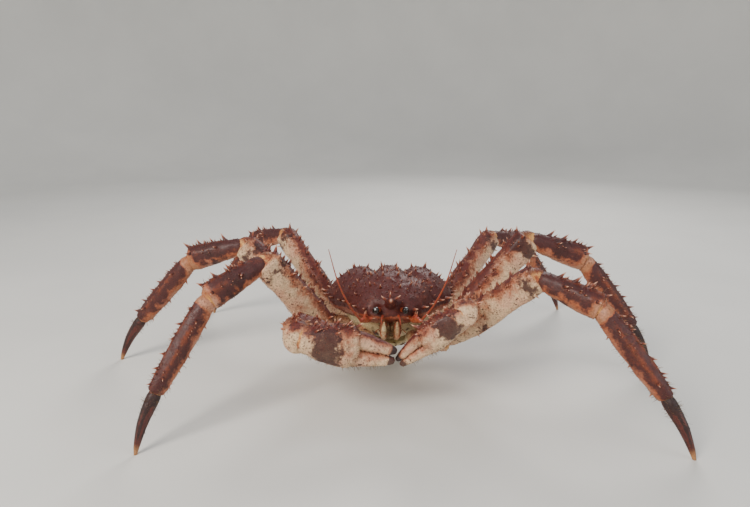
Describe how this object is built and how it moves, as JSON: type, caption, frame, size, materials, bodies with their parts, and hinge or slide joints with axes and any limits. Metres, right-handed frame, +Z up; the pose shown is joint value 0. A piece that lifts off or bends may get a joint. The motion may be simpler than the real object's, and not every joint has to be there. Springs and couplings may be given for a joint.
{
  "type": "red king crab model",
  "caption": "Life-size king crab standing on its walking legs, spiny heart-shaped back shell, folded pincers.",
  "frame": {"origin": "on the floor, under the middle of the whole crab's outline seen from above", "axes": "+Z up, +X towards the crab's left side and the camera's right, -Y the way the crab faces"},
  "size_m": [0.8184, 0.4784, 0.2307],
  "materials": {
    "shell": "satin, rough with small grains, dark red-brown with pale spine tips",
    "limb_shell": "satin, maroon above, pinkish cream with dark dots below",
    "pale_shell": "satin, cream with orange-brown blotches",
    "horn": "satin, dark horn with a tan tip",
    "feeler": "satin, pinkish red",
    "eye": "glossy black"
  },
  "bodies": {
    "root": {"back_shell": "shell", "breast": "pale_shell", "tail_flap": "pale_shell", "right_leg_1_base": "limb_shell", "right_leg_1_merus": "limb_shell", "right_leg_1_carpus": "limb_shell", "right_leg_1_propodus": "limb_shell", "right_leg_1_claw": "horn", "right_leg_2_base": "limb_shell", "right_leg_2_merus": "limb_shell", "right_leg_2_carpus": "limb_shell", "right_leg_2_propodus": "limb_shell", "right_leg_2_claw": "horn", "right_leg_3_base": "limb_shell", "right_leg_3_merus": "limb_shell", "right_leg_3_carpus": "limb_shell", "right_leg_3_propodus": "limb_shell", "right_leg_3_claw": "horn", "left_leg_1_base": "limb_shell", "left_leg_1_merus": "limb_shell", "left_leg_1_carpus": "limb_shell", "left_leg_1_propodus": "limb_shell", "left_leg_1_claw": "horn", "left_leg_2_base": "limb_shell", "left_leg_2_merus": "limb_shell", "left_leg_2_carpus": "limb_shell", "left_leg_2_propodus": "limb_shell", "left_leg_2_claw": "horn", "left_leg_3_base": "limb_shell", "left_leg_3_merus": "limb_shell", "left_leg_3_carpus": "limb_shell", "left_leg_3_propodus": "limb_shell", "left_leg_3_claw": "horn", "right_arm_base": "limb_shell", "right_arm_merus": "limb_shell", "right_arm_carpus": "limb_shell", "right_arm_hand": "limb_shell", "right_arm_finger": "limb_shell", "left_arm_base": "limb_shell", "left_arm_merus": "limb_shell", "left_arm_carpus": "limb_shell", "left_arm_hand": "limb_shell", "left_arm_finger": "limb_shell", "right_eye": "eye", "right_feeler": "feeler", "right_small_feeler": "feeler", "right_jaw_limb": "pale_shell", "left_eye": "eye", "left_feeler": "feeler", "left_small_feeler": "feeler", "left_jaw_limb": "pale_shell"}
  },
  "joints": []
}
